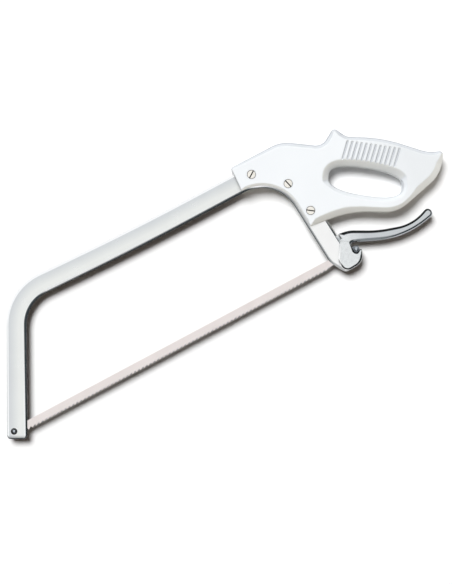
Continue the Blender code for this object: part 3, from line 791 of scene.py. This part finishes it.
# polished casting with a forked hook
lever = {
    "thickness": 10.4, "headThickness": 13.0, "wallGap": 3.3, "notch": 2.8, "longest": 5.0,
    "middle": ((440, 19.0), (452, 15.0), (470, 6.5), (490, -1.0), (510, -6.0), (530, -6.5), (548, -2.0)),
    "topFrom": 438.0, "topEdge": ((440, 5.6), (470, 5.2), (545, 3.4)),
    "lowerEdge": ((440, 4.6), (456, 5.6), (476, 5.6), (500, 4.6), (548, 3.2)),
    "headEdge": 3.4, "armShare": 0.9,
    "fillet": {"steepest": 62.0, "flattest": 0.0, "wall": 0.04, "steps": 8,
               "foot": ((0.0, 0.14), (0.01, 0.06))},
    "forkReach": (405.0, 457.5), "forkHeights": (-40.0, 5.2), "barRoomTop": 40.0,
    "bladeRoom": 14.4, "bladeRoomAt": (451.0, 1.2), "studHole": 6.6, "studCover": 0.9,
    "marks": {
        "overMiddle": (-1.0, 1.0), "arm": (438.5, 440.0), "lowHead": (-7.0, -10.0), "lowHeadEnd": 456.0,
        "notchSides": ((442.5, 444.0), (453.0, 452.0)), "notchHeights": ((-9.0, -7.0), (10.0, 7.0)),
        "headRimHighlight": (432.0, 430.0), "underArm": (450.0, 454.0), "root": (500.0, 482.0),
    },
    "armFrom": (446.0, 466.0), "armTone": (0.575, 0.605, 0.625), "flank": ((0.965, 0.92), (0.56, 0.62)),
    # a painted highlight on the head's rim; painted dark reflections and shade on the flanks and notch
    "headRimHighlight": (0.97, 0.975, 0.98), "lowerFlank": (0.50, 0.53, 0.555), "rootFlank": (0.24, 0.26, 0.275),
    "topFlank": (0.025, 0.027, 0.03), "notchWall": (0.03, 0.033, 0.037),
    "finish": {
        "shader": {"Metallic": 1.0},
        "tone": {"Main": (0.77, 0.797, 0.806, 1), "Second": (0.67, 0.695, 0.705, 1),
                 "Scale": 260.0, "Amount": 0.6},
        "gloss": {"Smooth": 0.10, "Rough": 0.17, "Scale": 90.0, "Extra Amount": 0.08},
        "scuffs": {"Scale": 70.0, "Stretch": (3.0, 11.0, 1.0), "Width": 0.03},
        "grain": {"Scale": 420.0, "Stretch": (1, 1, 1), "Detail": 2.0},
        "bump": (0.06, 0.08),
    },
}


def leverOutline():
    wall = blade["span"] - lever["wallGap"]
    return roundCorners([
        (439.4, 25.1, 1.2), (437.7, 18.6, 6.0), (423.9, -1.4, 12.0),          # heel and left side of the head
        (425.2, -18.9, 9.0), (449.8, -17.8, 14.0), (456.0, -1.7, 1.3),        # round to the hook's lip
        (wall, -4.0, lever["notch"]), (wall, 10.0, 3.5),                      # notch
        (505.3, -15.4, 103.0), (548.7, -6.5, 5.0), (546.5, 4.6, 5.0),         # underside and tip of the arm
        (520.4, -4.9, 51.0), (481.8, 7.4, 130.0), (451.6, 23.7, 34.0),        # back along the top
    ], lever["longest"])


def headOutline():
    return roundCorners([
        (438.0, 17.6, 2.5), (424.3, -1.5, 11.6), (425.6, -18.3, 8.7), (449.5, -17.2, 13.7),
        (455.6, -2.3, 1.1), (446.5, -4.5, 3.1), (446.5, 11.4, 1.5),
    ])


def overMiddle(spots):
    return spots[:, 1] - np.interp(spots[:, 0], *zip(*lever["middle"]))


def leverRounding(loop):
    onTop = (overMiddle(loop) > 0) & (loop[:, 0] > lever["topFrom"])
    top, lower = (np.interp(loop[:, 0], *zip(*lever[name])) for name in ("topEdge", "lowerEdge"))
    return np.where(onTop, top, lower)


def markLever(mesh):
    spots, marks = spotsOf(mesh), lever["marks"]
    x, y = spots.T
    onTop = fade(overMiddle(spots), *marks["overMiddle"])
    topArm = fade(x, *marks["arm"]) * onTop
    lowHead = fade(y, *marks["lowHead"]) * (x < marks["lowHeadEnd"])
    notch = np.ones(len(spots))
    for values, name in ((x, "notchSides"), (y, "notchHeights")):
        for limits in marks[name]:
            notch *= fade(values, *limits)
    flank = (1 - onTop) * fade(x, *marks["underArm"]) * (1 - notch)
    markPoints(mesh, "topFlank", np.maximum(topArm, lowHead))
    markPoints(mesh, "headRimHighlight", fade(x, *marks["headRimHighlight"]))
    markPoints(mesh, "notchWall", notch)
    markPoints(mesh, "lowerFlank", flank)
    markPoints(mesh, "rootFlank", flank * fade(x, *marks["root"]))


def finishLever():
    made = newFinish("polishedCasting", lever["finish"])
    tintWhere(made, along(made, *lever["armFrom"]), lever["armTone"])
    offFace, onSlope = facing(made, "Z", *lever["flank"])
    masks = {"headRimHighlight": offFace, "lowerFlank": offFace, "rootFlank": offFace,
             "topFlank": both(made, offFace, onSlope), "notchWall": offFace}
    for mark, mask in masks.items():        # a painted highlight on the head's rim, then painted dark reflections and shade on the flanks and in the notch
        tintWhere(made, both(made, mask, markOf(made, mark)), lever[mark])
    return made["material"]


def makeLever():
    casting = finishLever()
    fork, beside = bow["thickness"] / 2 + playGap, bow["width"] / 2 + playGap
    (west, east), (low, high), roomTop = lever["forkReach"], lever["forkHeights"], lever["barRoomTop"]
    besideBar = [onRearArm(height, side)
                 for height, side in ((roomTop, -beside), (0, -beside), (0, beside), (roomTop, beside))]
    stud = lever["headThickness"] / 2 - lever["studCover"]
    cutters = [
        boxMesh("forkSlot", (west, low, -fork), (east, high, fork)),
        prismMesh("barRoom", [besideBar], -fork, fork),
        drillMesh("bladeEndRoom", lever["bladeRoom"], -fork, fork, lever["bladeRoomAt"]),
        drillMesh("leverStudHole", lever["studHole"], -stud, stud, pivot),
    ]
    fillet = softEdge(**lever["fillet"])
    thick, thickHead = lever["thickness"], lever["headThickness"]
    arm = slabMesh("hookLever", [leverOutline()], thick, leverRounding, fillet, lever["armShare"])
    head = slabMesh("leverHead", [headOutline()], thickHead, lever["headEdge"], fillet)
    mesh = shapedMesh("hookLever", arm, cutters, [head])
    markLever(mesh)
    addPiece("hookLever", mesh, casting, "tension_lever", "lever")


# the blade's two pins and the lever's two studs
pins = {
    "front": {"diameter": 4.6, "reach": 2.8, "dome": 1.5},
    "hook": {"diameter": 5.4, "neck": 4.0, "shoulder": 0.65, "reach": 6.2, "dome": 1.6},
    "stud": {"diameter": 6.0, "inner": 0.95, "outer": 5.3, "rim": 0.2},
    "finish": {
        "shader": {"Metallic": 1.0},
        "tone": {"Main": (0.46, 0.50, 0.54, 1), "Second": (0.38, 0.42, 0.46, 1),
                 "Scale": 120.0, "Amount": 0.5},
        "gloss": {"Smooth": 0.12, "Rough": 0.22, "Scale": 300.0, "Extra Amount": 0.1},
        "scuffs": {"Scale": 260.0, "Stretch": (1.0, 6.0, 1.0), "Width": 0.04},
        "grain": {"Scale": 1600.0, "Stretch": (1, 1, 0.1), "Detail": 2.0},
        "bump": (0.08, 0.04),
    },
}


def domeOf(pin, steps=7):
    turns = [math.pi / 2 * k / steps for k in range(steps + 1)]
    return [(pin["diameter"] / 2 * math.sin(turn), pin["reach"] - pin["dome"] + pin["dome"] * math.cos(turn))
            for turn in turns]


def mirrored(profile):
    return profile + [(radius, -height) for radius, height in reversed(profile)]


def makePins():
    steel = newFinish("turnedPinSteel", pins["finish"])["material"]
    front, hook, stud = pins["front"], pins["hook"], pins["stud"]
    mesh = turnedMesh("frontPin", mirrored(domeOf(front)))
    addPiece("frontPin", mesh, steel, "front_blade_pin", "frame")
    shoulder = [(hook["diameter"] / 2, hook["shoulder"]), (hook["neck"] / 2, hook["shoulder"])]
    mesh = turnedMesh("hookPin", mirrored(domeOf(hook) + shoulder))
    addPiece("hookPin", mesh, steel, "blade_hook_pin", "blade", (blade["span"], 0))
    radius, rim = stud["diameter"] / 2, stud["rim"]
    for name, node, side in (("frontStud", "lever_stud_front", 1), ("backStud", "lever_stud_back", -1)):
        low, high = sorted((side * stud["inner"], side * stud["outer"]))
        profile = [(0, high), (radius - rim, high), (radius, high - rim),
                   (radius, low + rim), (radius - rim, low), (0, low)]
        addPiece(name, turnedMesh(name, profile), steel, node, "frame", pivot)


# slotted screws and the sleeve nuts that they turn in
screws = {
    "head": 10.0, "headThickness": 1.9, "sink": 0.2, "rim": 0.45, "rimStep": 0.3, "shank": 4.0, "tip": -6.0,
    "sleeve": 6.2, "sleeveTop": 8.0, "boreFloor": -9.0, "slot": (1.35, 0.9), "slotReach": 9.0,
    # painted shade on the head's rim and in the driver slot
    "dark": {"width": 0.6, "near": 0.05}, "rimShadeTone": (0.30, 0.285, 0.26), "recessShade": (0.02, 0.018, 0.016),
    "finish": {
        "shader": {"Metallic": 1.0},
        "tone": {"Main": (0.95, 0.93, 0.87, 1), "Second": (0.82, 0.79, 0.72, 1),
                 "Scale": 220.0, "Amount": 0.7},
        "gloss": {"Smooth": 0.20, "Rough": 0.34, "Scale": 400.0, "Extra Amount": 0.1},
        "scuffs": {"Scale": 300.0, "Stretch": (1.0, 5.0, 1.0), "Width": 0.05},
        "grain": {"Scale": 1500.0, "Stretch": (1, 1, 1), "Detail": 2.0},
        "bump": (0.12, 0.04),
    },
}


def makeScrews():
    made = newFinish("nickelScrew", screws["finish"])
    # painted shade on the head's rim and in the driver slot
    tintWhere(made, markOf(made, "rim"), screws["rimShadeTone"])
    tintWhere(made, markOf(made, "recess"), screws["recessShade"])
    top, past = handle["thickness"] / 2 - screws["sink"], 20.0
    under, rim, step = top - screws["headThickness"], screws["rim"], screws["rimStep"] * screws["rim"]
    head, shank, sleeve = screws["head"] / 2, screws["shank"] / 2, screws["sleeve"] / 2
    bore, tip = shank + playGap, screws["tip"]
    screwProfile = [(0, top), (head - rim, top), (head - step, top - step), (head, top - rim), (head, under),
                    (shank, under), (shank, tip + rim), (shank - rim, tip), (0, tip)]
    nutProfile = [(0, screws["boreFloor"]), (bore, screws["boreFloor"]), (bore, screws["sleeveTop"]),
                  (sleeve, screws["sleeveTop"]), (sleeve, -under), (head, -under), (head, rim - top),
                  (head - step, step - top), (head - rim, -top), (0, -top)]
    width, depth = screws["slot"]
    dark, reach = screws["dark"], screws["slotReach"]

    def onRim(spot, _):
        return math.hypot(spot.x, spot.y) > head - rim

    for place, (at, turn) in screwSpots.items():
        way = heading(turn)
        corners = [go(go((0, 0), way, reach * a), leftOf(way), width / 2 * b)
                   for a, b in ((-1, -1), (1, -1), (1, 1), (-1, 1))]

        def inSlot(spot, _):
            beside = abs(spot.y * way[0] - spot.x * way[1]) < dark["width"] * width
            return beside and top - depth - dark["near"] < abs(spot.z) < top - dark["near"]

        for kind, profile, low, high in (("screw", screwProfile, top - depth, past),
                                         ("nut", nutProfile, -past, depth - top)):
            name = place + kind.capitalize()
            driverSlot = prismMesh("driverSlot", [corners], low, high)
            mesh = shapedMesh(name, turnedMesh(name, profile), [driverSlot])
            markFaces(mesh, "recess", inSlot)
            markFaces(mesh, "rim", onRim)
            addPiece(name, mesh, made["material"], f"handle_{kind}_{place}", "frame", at)


makeBow()
print("bow made")
makeHandle()
print("handle made")
makeBlade()
makeLever()
makePins()
makeScrews()
print("blade, lever, pins and screws made")


# white floor, soft key from the picture's upper left, low fill from its lower right
stage = {
    "floorSize": 8.0, "floorDrop": 0.4, "floorColour": (0.975, 0.975, 0.975),
    "key": {"from": 120.0, "tilt": 28.5, "spread": 28.0, "strength": 3.6, "colour": (0.99, 1.0, 1.005)},
    "fill": {"from": -55.0, "tilt": 87.0, "spread": 16.0, "strength": 1.3, "colour": (1.0, 0.94, 0.83)},
    "roomFill": {"Color": (1.0, 0.82, 0.72, 1), "Strength": 0.062}, "white": (1.0, 1.0, 1.0),
    "flags": ({"from": -15.0, "limits": (0.36, 0.58), "colour": (0.05, 0.06, 0.065)},
              {"from": -130.0, "limits": (0.58, 0.80), "colour": (0.32, 0.33, 0.335)}),
}
picture = {
    "width": 452, "height": 584, "mmPerPixel": 1.16, "eyePixels": 1500.0, "pinPixel": (14.06, 431.4),
    "bladeSlope": 28.06, "sensor": 36.0,
}
slopeCos, slopeSin = heading(picture["bladeSlope"])
right, up = Vector((slopeCos, -slopeSin, 0)), Vector((slopeSin, slopeCos, 0))     # the picture's axes


def inPicture(degrees):
    c, s = heading(degrees)
    return right * c + up * s


def makeStage():
    bpy.ops.mesh.primitive_plane_add(size=stage["floorSize"], location=(0, 0, -stage["floorDrop"] * mm))
    floor = bpy.context.object
    floor.name = "floor"
    material = bpy.data.materials.new("paperFloor")
    material.use_nodes = True
    tree = material.node_tree
    shader = tree.nodes["Principled BSDF"]
    ray = addNode(tree, "ShaderNodeLightPath")
    again = mathOf(tree, "MULTIPLY", ray.outputs["Is Glossy Ray"], ray.outputs["Diffuse Depth"], clamp=True)
    paper = mixColours(tree, again, stage["floorColour"], (0, 0, 0))  # no light from floor to metal and back
    tree.links.new(paper, shader.inputs["Base Color"])
    shader.inputs["Roughness"].default_value = 1.0
    shader.inputs["Specular IOR Level"].default_value = 0.0
    floor.data.materials.append(material)


def makeLamp(name):
    lamp = stage[name]
    data = bpy.data.lights.new(name, "SUN")
    data.energy, data.color, data.angle = lamp["strength"], lamp["colour"], math.radians(lamp["spread"])
    obj = bpy.data.objects.new(name, data)
    scene.collection.objects.link(obj)
    flat, height = heading(90 - lamp["tilt"])
    way = inPicture(lamp["from"]) * flat + Vector((0, 0, height))
    obj.rotation_mode = "QUATERNION"
    obj.rotation_quaternion = way.to_track_quat("Z", "Y")
    obj.visible_glossy = False


def makeRoom():
    world = bpy.data.worlds.new("studio")
    scene.world = world
    world.use_nodes = True
    tree = world.node_tree
    tree.nodes.clear()
    link = tree.links.new
    place = addNode(tree, "ShaderNodeTexCoord")
    box = stage["white"]
    for flag in stage["flags"]:      # metal mirrors a white room with dark flags on two sides
        side = addNode(tree, "ShaderNodeVectorMath", operation="DOT_PRODUCT")
        link(place.outputs["Generated"], side.inputs[0])
        side.inputs[1].default_value = inPicture(flag["from"])
        shade = rampOf(tree, side.outputs["Value"], *flag["limits"], interpolation_type="SMOOTHSTEP")
        box = mixColours(tree, shade, box, flag["colour"])
    white = addNode(tree, "ShaderNodeBackground", {"Color": (*stage["white"], 1)})
    mirrorRoom = addNode(tree, "ShaderNodeBackground")
    link(box, mirrorRoom.inputs["Color"])
    fill = addNode(tree, "ShaderNodeBackground", stage["roomFill"])
    ray = addNode(tree, "ShaderNodeLightPath")
    direct = mathOf(tree, "LESS_THAN", ray.outputs["Diffuse Depth"], 0.5)      # not by way of the floor
    mirror = mathOf(tree, "MULTIPLY", ray.outputs["Is Glossy Ray"], direct)
    seen = mathOf(tree, "MAXIMUM", ray.outputs["Is Camera Ray"], ray.outputs["Is Transmission Ray"])
    room = mixShaders(tree, mirror, fill.outputs[0], mirrorRoom.outputs[0])
    out = addNode(tree, "ShaderNodeOutputWorld")
    link(mixShaders(tree, seen, room, white.outputs[0]), out.inputs["Surface"])


def makeCamera():
    data = bpy.data.cameras.new("camera")
    data.sensor_width = picture["sensor"]
    data.lens = picture["sensor"] * picture["eyePixels"] / max(picture["width"], picture["height"])
    camera = bpy.data.objects.new("camera", data)
    scene.collection.objects.link(camera)
    scale = picture["mmPerPixel"] * mm
    toMiddle = (picture["width"] / 2 - picture["pinPixel"][0], picture["pinPixel"][1] - picture["height"] / 2)
    eye = pinAt + right * toMiddle[0] * scale + up * toMiddle[1] * scale
    eye.z += bow["thickness"] / 2 * mm + picture["eyePixels"] * scale
    camera.matrix_world = Matrix.Translation(eye) @ Matrix((right, up, (0, 0, 1))).transposed().to_4x4()
    scene.camera = camera


makeStage()
makeLamp("key")
makeLamp("fill")
makeRoom()
makeCamera()
scene.view_settings.view_transform = "Standard"
print("stage, lamps and camera made")
